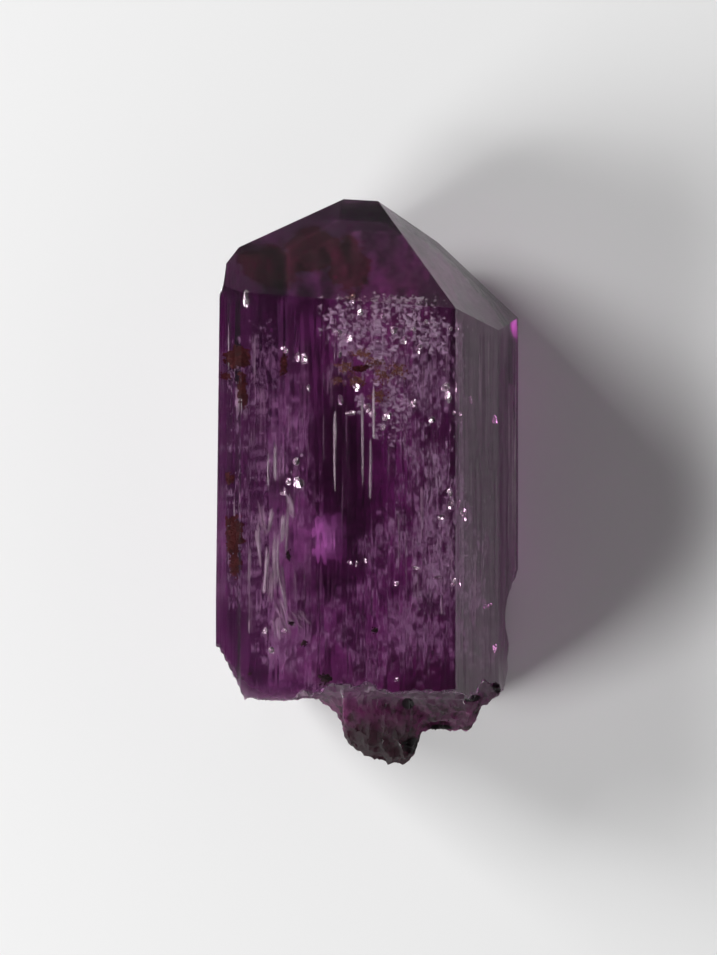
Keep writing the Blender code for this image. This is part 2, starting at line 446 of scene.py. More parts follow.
def build_crystal():
    """The whole crystal as one closed net, with its pyramid and its break marked for the material."""
    chance = random.Random(CRYSTAL_SEED)
    bm = bmesh.new()
    pyramid = bm.faces.layers.float.new("pyramid")
    broken = bm.faces.layers.float.new("broken")
    last_ring = build_wall(bm)
    rim = [(v.co.x / MM, v.co.z / MM - AXIS_HEIGHT) for v in last_ring]
    made = fill_with_net(
        bm, last_ring, rim, NET_SPACING, chance, lambda p: stone_point(p.x, p.y, fine_break_down(p.x, p.y))
    )
    for face in made:
        face[broken] = 1.0
    roughen_break(bm, broken)
    cut_pyramid(bm)
    net_over_pyramid(bm, pyramid, chance)
    bmesh.ops.triangulate(bm, faces=[f for f in bm.faces if len(f.verts) > 4])
    bmesh.ops.recalc_face_normals(bm, faces=bm.faces[:])
    mesh = bpy.data.meshes.new("topaz")
    bm.to_mesh(mesh)
    bm.free()
    return mesh


crystal_mesh = build_crystal()
print(f"crystal net: {len(crystal_mesh.vertices)} points, {len(crystal_mesh.polygons)} faces")


# %% [markdown]
# Striations. A topaz prism grows in steps along its length, so its faces are covered in fine lands that
# run the long way, start and stop. A Geometry Nodes tree carves them: it reads how far round and how far
# down each point lies, and sinks it by a noise that is stretched down the prism and cut into levels.
# The points first need those two distances, and a weight that keeps the edges sharp.


# %% Distances round and down the prism
def store(mesh, name, values):
    """Stores one number for each point of a mesh."""
    attribute = mesh.attributes.new(name, "FLOAT", "POINT")
    attribute.data.foreach_set("value", np.asarray(values, np.float32))


EDGE_FADE = 0.5


def mark_prism(mesh):
    """Stores across and down in mm, and carve, which is 1 where striations are at full depth."""
    places = np.empty(len(mesh.vertices) * 3)
    mesh.vertices.foreach_get("co", places)
    x, y, z = places.reshape(-1, 3).T / MM
    height = z - AXIS_HEIGHT
    starts = np.array(CORNERS)
    ends = np.roll(starts, -1, axis=0)
    lengths = np.linalg.norm(ends - starts, axis=1)
    normals = np.array([face_normal(azimuth) for azimuth, _ in PRISM_FACES])
    reaches = np.array([reach for _, reach in PRISM_FACES])
    off = np.abs(np.outer(x, normals[:, 0]) + np.outer(height, normals[:, 1]) - reaches)
    face = off.argmin(axis=1)
    along = (ends - starts) / lengths[:, None]
    part = (x - starts[face, 0]) * along[face, 0] + (height - starts[face, 1]) * along[face, 1]
    to_edge = np.minimum(part, lengths[face] - part)
    gap = off.min(axis=1)
    for plane in PYRAMID_FACES:
        point, normal = pyramid_plane(*plane)
        distance = point.dot(normal) / MM - (x * normal.x + y * normal.y + z * normal.z)
        to_edge = np.minimum(to_edge, distance * 0.6)
    store(mesh, "across", np.concatenate([[0], np.cumsum(lengths)])[face] + part)
    store(mesh, "down", LENGTH / 2 - y)
    store(mesh, "carve", np.clip(to_edge / EDGE_FADE, 0, 1) * (gap < 0.02))


mark_prism(crystal_mesh)


# %% Helper that adds a node to a tree
def add_node(tree, kind, settings=None, inputs=None):
    """Adds a node. Each input is given a value, or another node's output to link."""
    node = tree.nodes.new(kind)
    for name, value in (settings or {}).items():
        setattr(node, name, value)
    for name, value in (inputs or {}).items():
        socket = node.inputs[name]
        if isinstance(value, bpy.types.NodeSocket):
            tree.links.new(value, socket)
        else:
            socket.default_value = value
    return node


def new_tree(name, inputs):
    """A Geometry Nodes tree with a geometry input and output, and named inputs for its sizes."""
    tree = bpy.data.node_groups.new(name, "GeometryNodeTree")
    tree.interface.new_socket("Geometry", in_out="INPUT", socket_type="NodeSocketGeometry")
    tree.interface.new_socket("Geometry", in_out="OUTPUT", socket_type="NodeSocketGeometry")
    for socket_name, (kind, value) in inputs.items():
        socket = tree.interface.new_socket(socket_name, in_out="INPUT", socket_type=kind)
        if value is not None:
            socket.default_value = value
    return tree, tree.nodes.new("NodeGroupInput"), tree.nodes.new("NodeGroupOutput")


def grown(obj, tree, settings, name):
    """Runs a tree on an object and returns the result as a plain mesh object with no modifier."""
    modifier = obj.modifiers.new(tree.name, "NODES")
    modifier.node_group = tree
    identifiers = {i.name: i.identifier for i in tree.interface.items_tree if i.in_out == "INPUT"}
    for label, value in settings.items():
        modifier[identifiers[label]] = value
    graph = bpy.context.evaluated_depsgraph_get()
    mesh = bpy.data.meshes.new_from_object(
        obj.evaluated_get(graph), preserve_all_data_layers=True, depsgraph=graph
    )
    mesh.name = name
    bpy.data.objects.remove(obj)
    result = bpy.data.objects.new(name, mesh)
    bpy.context.scene.collection.objects.link(result)
    return result


# %% Tree that carves striations
NUMBER = "NodeSocketFloat"
WHOLE = "NodeSocketInt"
MATERIAL = "NodeSocketMaterial"


def stria_layer(tree, across, down, width, length, levels, seed):
    """One set of lands: a stretched noise, cut into level steps from 0 to 1."""
    place = add_node(tree, "ShaderNodeCombineXYZ", inputs={
        "X": add_node(tree, "ShaderNodeMath", {"operation": "DIVIDE"}, {0: across, 1: width}).outputs[0],
        "Y": add_node(tree, "ShaderNodeMath", {"operation": "DIVIDE"}, {0: down, 1: length}).outputs[0],
        "Z": seed,
    })
    grain = add_node(tree, "ShaderNodeTexNoise", inputs={
        "Vector": place.outputs[0],
        "Scale": 1.0,
        "Detail": 1.0,
    })
    return add_node(tree, "ShaderNodeMapRange", {"interpolation_type": "STEPPED"}, {
        "Value": grain.outputs[0],
        "From Min": 0.30,
        "From Max": 0.70,
        "Steps": levels,
    }).outputs[0]


def striation_tree():
    """Sinks the prism's faces in lengthwise lands."""
    tree, given, result = new_tree("prism_striations", {
        "Broad Width": (NUMBER, 1.0),
        "Fine Width": (NUMBER, 0.3),
        "Length": (NUMBER, 20.0),
        "Broad Depth": (NUMBER, 0.1),
        "Fine Depth": (NUMBER, 0.03),
        "Seed": (NUMBER, 1.0),
    })
    across = add_node(tree, "GeometryNodeInputNamedAttribute", inputs={"Name": "across"}).outputs[0]
    down = add_node(tree, "GeometryNodeInputNamedAttribute", inputs={"Name": "down"}).outputs[0]
    carve = add_node(tree, "GeometryNodeInputNamedAttribute", inputs={"Name": "carve"}).outputs[0]
    values = given.outputs
    broad = stria_layer(tree, across, down, values["Broad Width"], values["Length"], 4.0, values["Seed"])
    fine = stria_layer(tree, across, down, values["Fine Width"], values["Length"], 3.0, values["Seed"])
    multiply = {"operation": "MULTIPLY"}
    broad_part = add_node(tree, "ShaderNodeMath", multiply, {0: broad, 1: values["Broad Depth"]})
    both = add_node(tree, "ShaderNodeMath", {"operation": "MULTIPLY_ADD"}, {
        0: fine, 1: values["Fine Depth"], 2: broad_part.outputs[0],
    })
    depth = add_node(tree, "ShaderNodeMath", multiply, {0: both.outputs[0], 1: carve})
    inward = add_node(tree, "ShaderNodeMath", multiply, {0: depth.outputs[0], 1: -MM})
    normal = add_node(tree, "GeometryNodeInputNormal")
    move = add_node(tree, "ShaderNodeVectorMath", {"operation": "SCALE"}, {
        "Vector": normal.outputs[0], "Scale": inward.outputs[0],
    })
    carved = add_node(tree, "GeometryNodeSetPosition", inputs={
        "Geometry": values["Geometry"], "Offset": move.outputs[0],
    })
    tree.links.new(carved.outputs[0], result.inputs[0])
    return tree


STRIATIONS = {
    "Broad Width": 0.9,
    "Fine Width": 0.28,
    "Length": 26.0,
    "Broad Depth": 0.07,
    "Fine Depth": 0.03,
    "Seed": 3.7,
}


def make_crystal(mesh):
    """The striated crystal, which stands for the frame's solid."""
    plain = bpy.data.objects.new("plain_crystal", mesh)
    bpy.context.scene.collection.objects.link(plain)
    crystal = grown(plain, striation_tree(), STRIATIONS, "topaz")
    crystal.data.shade_smooth()
    crystal.data.set_sharp_from_angle(angle=math.radians(24))
    return crystal


crystal = make_crystal(crystal_mesh)
print(f"striated crystal: {len(crystal.data.polygons)} faces")


# %% [markdown]
# Colours. Each is an sRGB value read one by one, and one function turns it into the linear numbers that
# Blender's shaders use.


# %% Helper for colours and a plain material
def linear(colour):
    """An sRGB hex colour as linear red, green, blue and alpha."""
    parts = [int(colour[i:i + 2], 16) / 255 for i in (1, 3, 5)]
    return (*[c / 12.92 if c <= 0.04045 else ((c + 0.055) / 1.055) ** 2.4 for c in parts], 1.0)


def new_material(name):
    """An empty material, with its tree and its output node."""
    material = bpy.data.materials.new(name)
    material.use_nodes = True
    material.node_tree.nodes.clear()
    return material, material.node_tree, material.node_tree.nodes.new("ShaderNodeOutputMaterial")


# %% [markdown]
# Topaz, grown and etched. It is clear, with an index of 1.62, so it mirrors more than glass. The colour
# is in the body, not on the surface: Volume Absorption takes most from green, so thin edges look pale
# and thick parts deep purple. The prism is glossy, the pyramid is etched satin, and the break is dull.

# %% Material of the crystal
ABSORPTION = 186.0
BODY_COLOUR = (0.59, 0.0, 0.55, 1.0)
# Each spot is X and distance down of its middle, and its half size each way, in mm.
FILM_SPOTS = ((-6.8, 4.9, 2.8, 1.7), (-3.8, 3.8, 2.8, 2.0), (-1.6, 4.8, 1.7, 2.5))
LUMP_SPOTS = ((0.7, 39.2, 3.8, 2.6),)
CORNER_SPOTS = ((-8.4, 35.2, 5.0, 4.0),)
CORNER_ARC = ((-4.9, 29.6, 6.4, 6.4),)
# Roughness of each part of the surface. Two values run from one end of a blend to the other.
GLOSS = (0.13, 0.23)
STRIP_ROUGHNESS = 0.25
CORNER_ROUGHNESS = 0.42
PYRAMID_SATIN = (0.13, 0.22)
BREAK_DULLNESS = (0.4, 0.9)


def blots(tree, place, cloud, spots, raggedness=1.1):
    """1 inside any of the ovals, 0 outside, with ragged soft rims."""
    share = 0.0
    for x, down, half_x, half_down in spots:
        moved = add_node(tree, "ShaderNodeVectorMath", {"operation": "SUBTRACT"}, {
            0: place, 1: (x * MM, (LENGTH / 2 - down) * MM, 0.0),
        })
        scaled = add_node(tree, "ShaderNodeVectorMath", {"operation": "MULTIPLY"}, {
            0: moved.outputs[0], 1: (1 / (half_x * MM), 1 / (half_down * MM), 0.0),
        })
        reach = add_node(tree, "ShaderNodeVectorMath", {"operation": "LENGTH"}, {0: scaled.outputs[0]})
        ragged = add_node(tree, "ShaderNodeMath", {"operation": "MULTIPLY_ADD"}, {
            0: cloud, 1: raggedness, 2: reach.outputs["Value"],
        })
        inside = add_node(tree, "ShaderNodeMapRange", {"interpolation_type": "SMOOTHSTEP"}, {
            "Value": ragged.outputs[0],
            "From Min": 0.75 + 0.5 * raggedness,
            "From Max": 1.10 + 0.5 * raggedness,
            "To Min": 1.0,
            "To Max": 0.0,
        })
        share = add_node(tree, "ShaderNodeMath", {"operation": "MAXIMUM"}, {
            0: share, 1: inside.outputs[0],
        }).outputs[0]
    return share


def mixed(tree, share, first, second):
    """A colour between two, by a share from 0 to 1."""
    return add_node(tree, "ShaderNodeMix", {"data_type": "RGBA"}, {
        "Factor": share, "A": first, "B": second,
    }).outputs["Result"]


def stepped(tree, value, start, end, first, last):
    """Eases from first to last while value runs from start to end."""
    return add_node(tree, "ShaderNodeMapRange", {"interpolation_type": "SMOOTHSTEP"}, {
        "Value": value, "From Min": start, "From Max": end, "To Min": first, "To Max": last,
    }).outputs[0]


def between(tree, share, first, second):
    """A number between two, by a share from 0 to 1."""
    return add_node(tree, "ShaderNodeMix", inputs={"Factor": share, "A": first, "B": second}).outputs[0]


def topaz_material():
    """Clear purple topaz: glossy faces, a worn lower left corner, a satin pyramid with a brown film, a
    darker purple tint on the face left of the right strip as painted shade, and a rough broken end with
    dirt, its hollows painted near-black as painted shade."""
    material, tree, output = new_material("etched_topaz")
    pyramid = add_node(tree, "ShaderNodeAttribute", {"attribute_name": "pyramid"}).outputs["Fac"]
    broken = add_node(tree, "ShaderNodeAttribute", {"attribute_name": "broken"}).outputs["Fac"]
    place = add_node(tree, "ShaderNodeTexCoord").outputs["Object"]
    axes = add_node(tree, "ShaderNodeSeparateXYZ", inputs={"Vector": place}).outputs
    cloud = add_node(tree, "ShaderNodeTexNoise", inputs={
        "Vector": place, "Scale": 1 / (1.6 * MM), "Detail": 3.0,
    }).outputs[0]
    grime = add_node(tree, "ShaderNodeTexNoise", inputs={
        "Vector": place, "Scale": 1 / (0.9 * MM), "Detail": 4.0,
    }).outputs[0]
    upper = stepped(tree, axes["Z"], (AXIS_HEIGHT - 0.5) * MM, (AXIS_HEIGHT + 0.5) * MM, 0.0, 1.0)
    film = add_node(tree, "ShaderNodeMath", {"operation": "MULTIPLY"}, {
        0: blots(tree, place, cloud, FILM_SPOTS), 1: upper,
    }).outputs[0]
    corner = add_node(tree, "ShaderNodeMath", {"operation": "SUBTRACT", "use_clamp": True}, {
        0: blots(tree, place, cloud, CORNER_SPOTS), 1: blots(tree, place, cloud, CORNER_ARC, 0.15),
    }).outputs[0]
    gloss = stepped(tree, axes["X"], -9.2 * MM, -8.6 * MM, *GLOSS)
    on_strip = stepped(tree, axes["X"], 9.3 * MM, 9.5 * MM, 0.0, 1.0)
    face_gloss = between(tree, on_strip, gloss, STRIP_ROUGHNESS)
    prism = between(tree, corner, face_gloss, CORNER_ROUGHNESS)
    satin = stepped(tree, cloud, 0.3, 0.7, *PYRAMID_SATIN)
    further_down = stepped(tree, axes["Y"], -13.6 * MM, -16.0 * MM, 0.0, 1.0)
    # Painted shade: the hollows of the break get a near-black colour, for the shade that falls in them.
    painted_hollow_shade = blots(tree, place, grime, HOLLOWS, 0.8)
    rough = between(tree, further_down, *BREAK_DULLNESS)
    roughness = between(tree, broken, between(tree, pyramid, prism, satin), rough)
    skin = mixed(tree, film, linear("#DCDED6"), linear("#9A5E46"))
    dirt = stepped(tree, grime, 0.44, 0.62, 0.0, 1.0)
    dirty = add_node(tree, "ShaderNodeMath", {"operation": "MAXIMUM"}, {
        0: dirt, 1: blots(tree, place, cloud, LUMP_SPOTS),
    })
    rough_skin = mixed(tree, dirty.outputs[0], linear("#C06CA8"), linear("#4A2230"))
    merged = mixed(tree, further_down, linear("#D8C4D4"), rough_skin)
    # The near-black here is painted shade in the hollows.
    break_skin = mixed(tree, painted_hollow_shade, merged, linear("#080405"))
    # Painted shade: the face between the front and the right strip gets a darker purple tint, so that side
    # reads darker.
    right_face_shade = add_node(tree, "ShaderNodeMath", {"operation": "SUBTRACT"}, {
        0: stepped(tree, axes["X"], 5.8 * MM, 6.1 * MM, 0.0, 1.0), 1: on_strip,
    }).outputs[0]
    clear_or_shaded = mixed(tree, right_face_shade, (1.0, 1.0, 1.0, 1.0), linear("#B890B4"))
    clear_or_skin = mixed(tree, pyramid, clear_or_shaded, skin)
    colour = mixed(tree, broken, clear_or_skin, break_skin)
    shader = add_node(tree, "ShaderNodeBsdfPrincipled", inputs={
        "Base Color": colour,
        "Roughness": roughness,
        "IOR": 1.62,
        "Transmission Weight": 1.0,
    })
    body = add_node(tree, "ShaderNodeVolumeAbsorption", inputs={
        "Color": BODY_COLOUR, "Density": ABSORPTION,
    })
    tree.links.new(shader.outputs[0], output.inputs["Surface"])
    tree.links.new(body.outputs[0], output.inputs["Volume"])
    return material


crystal.data.materials.clear()
crystal.data.materials.append(topaz_material())
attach(crystal, "root")
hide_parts("topaz_crystal")


# %% [markdown]
# Inside the stone. What makes this crystal look real is its flaws: healed cracks full of tiny facets that
# flash, thin growth tubes along the prism, a fan of splinters, and specks of iron. Most are made of small
# closed solids under the front face. Sheets with holes would be lighter, but they vanish when seen from
# the edge, and a shard catches light as a real facet does.

# %% Materials of the flaws
def flaw_material(name, colour, roughness, metallic):
    """A flaw in the stone. Metallic stands for the mirror that a gas-filled crack makes."""
    material, tree, output = new_material(name)
    place = add_node(tree, "ShaderNodeTexCoord").outputs["Object"]
    grain = add_node(tree, "ShaderNodeTexNoise", inputs={"Vector": place, "Scale": 1 / (0.5 * MM)})
    shade = add_node(tree, "ShaderNodeMapRange", inputs={
        "Value": grain.outputs[0], "From Min": 0.3, "From Max": 0.7, "To Min": 0.65, "To Max": 1.0,
    })
    tint = add_node(tree, "ShaderNodeMix", {"data_type": "RGBA", "blend_type": "MULTIPLY"}, {
        "Factor": 1.0, "A": linear(colour), "B": shade.outputs[0],
    })
    shader = add_node(tree, "ShaderNodeBsdfPrincipled", inputs={
        "Base Color": tint.outputs["Result"],
        "Roughness": roughness,
        "Metallic": metallic,
    })
    tree.links.new(shader.outputs[0], output.inputs["Surface"])
    return material


# Gas in a crack mirrors all the light that meets it at a low angle, so it flashes white.
CRACK_MIRROR = flaw_material("gas_filled_crack", "#FBFAF4", 0.12, 1.0)
# Fluid specks in a healed crack only scatter light, so they read as pale haze.
DENSE_CLOUD = flaw_material("dense_fluid_specks", "#CDC0CA", 0.7, 0.0)
WISP = flaw_material("healed_crack_wisp", "#828280", 0.6, 0.0)
STAINED_WISP = flaw_material("iron_tinted_wisp", "#6C6A46", 0.6, 0.0)
SPECK = flaw_material("healed_crack_speck", "#D2C8D0", 0.5, 0.0)
# The walls of growth tubes and splinters are silky and white. The same white, in pale tubes just behind the
# right strip, is painted sheen there.
TUBE_AND_SHEEN_WHITE = flaw_material("tube_wall_and_strip_sheen", "#E2E6DC", 0.3, 0.0)
# Haematite and limonite stain the cracks that water reached.
RED_IRON = flaw_material("haematite_stain", "#560602", 0.8, 0.0)
OCHRE_IRON = flaw_material("limonite_stain", "#A8845E", 0.7, 0.0)
# A pale plate deep in the stone sends back violet light: painted light for the bright violet window.
VIOLET_LIGHT_PLATE = flaw_material("window_light_plate", "#FFE2FF", 0.5, 0.0)
# Dark flakes in the pits along the broken rim are painted shade.
PIT_SHADE = flaw_material("shade_in_pits", "#3A2627", 0.9, 0.0)


# %% Tree that scatters shards over a patch
def shard_tree():
    """Scatters small closed shards over a patch, in clumps."""
    tree, given, result = new_tree("scattered_shards", {
        "Per Square": (NUMBER, 10.0),
        "Clump Size": (NUMBER, 1.0),
        "Bareness": (NUMBER, 0.5),
        "Softness": (NUMBER, 0.12),
        "Smallest": (NUMBER, 0.05),
        "Largest": (NUMBER, 0.3),
        "Stretch": (NUMBER, 1.0),
        "Flatness": (NUMBER, 0.4),
        "Scatter": (NUMBER, 0.2),
        "Tilt": (NUMBER, 0.3),
        "Spin": (NUMBER, 3.0),
        "Seed": (WHOLE, 1),
        "Material": (MATERIAL, None),
    })
    values = given.outputs

    def calculate(operation, first, second=0.0):
        return add_node(tree, "ShaderNodeMath", {"operation": operation}, {0: first, 1: second}).outputs[0]

    scale = calculate("DIVIDE", 1 / MM, values["Clump Size"])
    cloud = add_node(tree, "ShaderNodeTexNoise", inputs={
        "Vector": add_node(tree, "GeometryNodeInputPosition").outputs[0], "Scale": scale, "Detail": 2.0,
    })
    clump = add_node(tree, "ShaderNodeMapRange", inputs={
        "Value": cloud.outputs[0],
        "From Min": values["Bareness"],
        "From Max": calculate("ADD", values["Bareness"], values["Softness"]),
    })
    per_square = calculate("MULTIPLY", values["Per Square"], 1 / MM ** 2)
    density = calculate("MULTIPLY", per_square, clump.outputs[0])
    points = add_node(tree, "GeometryNodeDistributePointsOnFaces", inputs={
        "Mesh": values["Geometry"], "Density": density, "Seed": values["Seed"],
    })
    reach = calculate("MULTIPLY", values["Scatter"], MM)
    shake = add_node(tree, "FunctionNodeRandomValue", {"data_type": "FLOAT_VECTOR"}, {
        0: calculate("MULTIPLY", reach, -1.0), 1: reach, "Seed": values["Seed"],
    })
    moved = add_node(tree, "GeometryNodeSetPosition", inputs={
        "Geometry": points.outputs["Points"], "Offset": shake.outputs[0],
    })
    chance = add_node(tree, "FunctionNodeRandomValue", {"data_type": "FLOAT"}, {
        2: 0.0, 3: 1.0, "Seed": calculate("ADD", values["Seed"], 7),
    })
    few_large = calculate("POWER", chance.outputs[1], 3.0)
    size = add_node(tree, "ShaderNodeMapRange", inputs={
        "Value": few_large,
        "To Min": calculate("MULTIPLY", values["Smallest"], MM),
        "To Max": calculate("MULTIPLY", values["Largest"], MM),
    }).outputs[0]
    shape = add_node(tree, "ShaderNodeCombineXYZ", inputs={
        "X": size,
        "Y": calculate("MULTIPLY", size, values["Stretch"]),
        "Z": calculate("MULTIPLY", size, values["Flatness"]),
    })
    most_turn = add_node(tree, "ShaderNodeCombineXYZ", inputs={
        "X": values["Tilt"], "Y": values["Tilt"], "Z": values["Spin"],
    }).outputs[0]
    least_turn = add_node(tree, "ShaderNodeVectorMath", {"operation": "SCALE"}, {
        "Vector": most_turn, "Scale": -1.0,
    })
    turn = add_node(tree, "FunctionNodeRandomValue", {"data_type": "FLOAT_VECTOR"}, {
        0: least_turn.outputs[0], 1: most_turn, "Seed": calculate("ADD", values["Seed"], 13),
    })
    shard = add_node(tree, "GeometryNodeMeshCone", {"fill_type": "NGON"}, {
        "Vertices": 3, "Radius Bottom": 0.5, "Radius Top": 0.0, "Depth": 1.0,
    })
    placed = add_node(tree, "GeometryNodeInstanceOnPoints", inputs={
        "Points": moved.outputs[0],
        "Instance": shard.outputs["Mesh"],
        "Rotation": add_node(tree, "FunctionNodeEulerToRotation", inputs={0: turn.outputs[0]}).outputs[0],
        "Scale": shape.outputs[0],
    })
    real = add_node(tree, "GeometryNodeRealizeInstances", inputs={0: placed.outputs[0]})
    worn = add_node(tree, "GeometryNodeSetMaterial", inputs={
        "Geometry": real.outputs[0], "Material": values["Material"],
    })
    tree.links.new(worn.outputs[0], result.inputs[0])
    return tree


SHARDS = shard_tree()


def make_patch(middle, half_size, slopes, bulge):
    """A curved sheet under the upper faces. It only carries shards and isn't kept.
    middle is X, distance down and depth in mm. slopes is how much deeper it gets per mm across and down."""
    x, down, depth = middle
    bm = bmesh.new()
    bmesh.ops.create_grid(bm, x_segments=24, y_segments=24, size=1.0)
    outer = [v for v in bm.verts if v.co.length > 1.05 + 0.3 * noise.noise(v.co * 2.5 + Vector(middle))]
    bmesh.ops.delete(bm, geom=outer, context="VERTS")
    for vertex in bm.verts:
        across, along = vertex.co.x, -vertex.co.y
        here = depth + slopes[0] * across * half_size[0] + slopes[1] * along * half_size[1]
        here += bulge * (across ** 2 + along ** 2)
        vertex.co = under_front(x + across * half_size[0], down + along * half_size[1], max(here, 0.4))
    mesh = bpy.data.meshes.new("patch")
    bm.to_mesh(mesh)
    bm.free()
    patch = bpy.data.objects.new("patch", mesh)
    bpy.context.scene.collection.objects.link(patch)
    return patch


SKIN = 0.15


def clearance(x, height, down):
    """How far inside the nearest prism or pyramid face a place lies, all in mm."""
    from_prism = min(reach - face_normal(azimuth).dot((x, height)) for azimuth, reach in PRISM_FACES)
    place = stone_point(x, height, down)
    planes = [pyramid_plane(*face) for face in PYRAMID_FACES]
    from_pyramid = min((point - place).dot(normal) / MM for point, normal in planes)
    return min(from_prism, from_pyramid)


def outside(x, height, down):
    """True where a place in mm isn't at least SKIN inside the crystal."""
    if clearance(x, height, down) < SKIN:
        return True
    if down > 26 and x > on_line(RIGHT_SIDE, down) - 2 * SKIN:
        return True
    return x < on_line(LEFT_SIDE, down) + SKIN or down > fine_break_down(x, height) - 2 * SKIN


def drop_outside(bm):
    """Removes each shard that would stick out of the crystal."""
    bm.verts.ensure_lookup_table()
    seen = set()
    lost = []
    for vertex in bm.verts:
        if vertex in seen:
            continue
        shard = [vertex]
        seen.add(vertex)
        for member in shard:
            for edge in member.link_edges:
                other = edge.other_vert(member)
                if other not in seen:
                    seen.add(other)
                    shard.append(other)
        if any(outside(v.co.x / MM, v.co.z / MM - AXIS_HEIGHT, LENGTH / 2 - v.co.y / MM) for v in shard):
            lost += shard
    bmesh.ops.delete(bm, geom=lost, context="VERTS")
    return len(lost)


def inside_the_stone(piece):
    """Fixes a finished flaw to the crystal."""
    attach(piece, "root")
    print(f"{piece.name}: {len(piece.data.polygons)} faces")


def join_pieces(name, pieces):
    """Joins plain mesh objects into one."""
    bm = bmesh.new()
    materials = []
    for piece in pieces:
        start = len(bm.faces)
        bm.from_mesh(piece.data)
        bm.faces.ensure_lookup_table()
        for face in bm.faces[start:]:
            face.material_index = len(materials)
        materials.append(piece.data.materials[0])
        bpy.data.objects.remove(piece)
    drop_outside(bm)
    mesh = bpy.data.meshes.new(name)
    bm.to_mesh(mesh)
    bm.free()
    for material in materials:
        mesh.materials.append(material)
    joined = bpy.data.objects.new(name, mesh)
    bpy.context.scene.collection.objects.link(joined)
    return joined


def scatter(name, patches, settings):
    """One piece of shards over several patches."""
    made = []
    for seed, patch in enumerate(patches):
        made.append(grown(make_patch(*patch), SHARDS, {**settings, "Seed": seed + 1}, f"{name}_{seed}"))
    piece = join_pieces(name, made)
    inside_the_stone(piece)
    return piece


# %% [markdown]
# Deep haze. The body of the stone isn't empty: dense clouds of fluid specks lie deep in it and send light
# back through the colour. Where the cloud is deep the stone looks dark purple, and where it rises it looks
# paler and greyer. A thin closed sheet with a rolling height field does this with one surface.

# %% Helper for closed sheets
def make_sheet(name, spans, step, point_at, thickness, material):
    """A thin closed sheet over a grid of X and distance down. point_at gives a place, or None for a hole."""
    (x0, x1), (down0, down1) = spans
    bm = bmesh.new()
    made = {}
    columns, rows = round((x1 - x0) / step), round((down1 - down0) / step)
    for i in range(columns + 1):
        for j in range(rows + 1):
            place = point_at(x0 + i * step, down0 + j * step)
            if place is not None:
                made[i, j] = bm.verts.new(place)
    for i in range(columns):
        for j in range(rows):
            corners = [made.get(key) for key in ((i, j), (i, j + 1), (i + 1, j + 1), (i + 1, j))]
            if None not in corners:
                bm.faces.new(corners)
    bmesh.ops.delete(bm, geom=[v for v in bm.verts if not v.link_faces], context="VERTS")
    lower = bmesh.ops.extrude_face_region(bm, geom=bm.faces[:], use_keep_orig=True)["geom"]
    lower = [item for item in lower if isinstance(item, bmesh.types.BMVert)]
    bmesh.ops.translate(bm, verts=lower, vec=(0, 0, -thickness * MM))
    bmesh.ops.recalc_face_normals(bm, faces=bm.faces[:])
    mesh = bpy.data.meshes.new(name)
    bm.to_mesh(mesh)
    bm.free()
    mesh.materials.append(material)
    mesh.shade_smooth()
    piece = bpy.data.objects.new(name, mesh)
    bpy.context.scene.collection.objects.link(piece)
    inside_the_stone(piece)


# %% Rolling depth of the deep haze: X, distance down, half size each way, and how far it rises in mm
DEEP_FLOOR = 9.8
DEEP_RISES = (
    (-6.0, 20.0, 4.0, 13.0, 1.2),
    (3.2, 22.0, 2.8, 10.0, 1.6),
    (-1.5, 31.5, 6.5, 5.0, 1.3),
    (-3.5, 23.9, 2.1, 2.6, 2.5),
    (1.0, 12.0, 4.6, 4.0, 1.3),
    (-1.2, 17.8, 1.5, 4.5, -2.6),
    (-2.8, 26.8, 1.6, 0.8, -1.2),
    (7.0, 11.5, 2.5, 3.0, -1.5),
    (9.0, 22.0, 2.6, 24.0, -4.5),
    (-5.5, 9.5, 5.0, 3.2, -3.2),
    (0.0, 3.0, 12.0, 3.5, -2.0),
)
DEEP_ROLLS = ((1.0, 1.2, 2.6), (0.5, 0.45, 1.1), (0.2, 0.2, 0.5))
DEEP_LIMITS = (3.6, 12.2)
DEEP_CLEARANCE = 1.5
FLOOR_OVER_BACK = 1.3
FLOOR_ROLLS = ((0.3, 1.5, 4.0), (0.2, 0.5, 1.1))


def rolling(x, down, rolls, seed):
    """Sum of noises. Each has a height, a width across and a length down, all in mm."""
    return sum(h * noise.noise(Vector((x / w, down / d, seed + h))) for h, w, d in rolls)


def deep_point(x, down):
    """A place on the deep haze, or None where it would leave the stone."""
    depth = DEEP_FLOOR + rolling(x, down, DEEP_ROLLS, 6.0)
    for middle_x, middle_down, half_x, half_down, rise in DEEP_RISES:
        off = ((x - middle_x) / half_x) ** 2 + ((down - middle_down) / half_down) ** 2
        depth -= rise * math.exp(-off)
    depth = min(max(depth, DEEP_LIMITS[0]), DEEP_LIMITS[1])
    height = front_height(x) - depth
    if clearance(x, height, down) < DEEP_CLEARANCE or outside(x, height - 0.4, down + 0.8):
        return None
    return stone_point(x, height, down)


def floor_point(x, down):
    """A place on the last haze, just over the face that the stone lies on, or None outside it."""
    height = FLOOR_OVER_BACK - AXIS_HEIGHT + rolling(x, down, FLOOR_ROLLS, 3.0)
    if clearance(x, height, down) < 0.4 or outside(x, height - 0.4, down + 0.3):
        return None
    return stone_point(x, height, down)


make_sheet("lowest_haze", ((-9.0, 9.0), (13.0, 39.0)), 0.3, floor_point, 0.2, DENSE_CLOUD)
make_sheet("deep_haze", ((-10.4, 10.4), (2.0, 37.6)), 0.2, deep_point, 0.3, DENSE_CLOUD)


# %% [markdown]
# Veils. Healed cracks cross the stone nearer the front as wisps, thickest under the right half of the
# front face and in a band just below the pyramid. Each wisp is a crowd of small dim flakes that run along
# the prism. The dulled faces blur them, and a few fine pale specks give them grain.

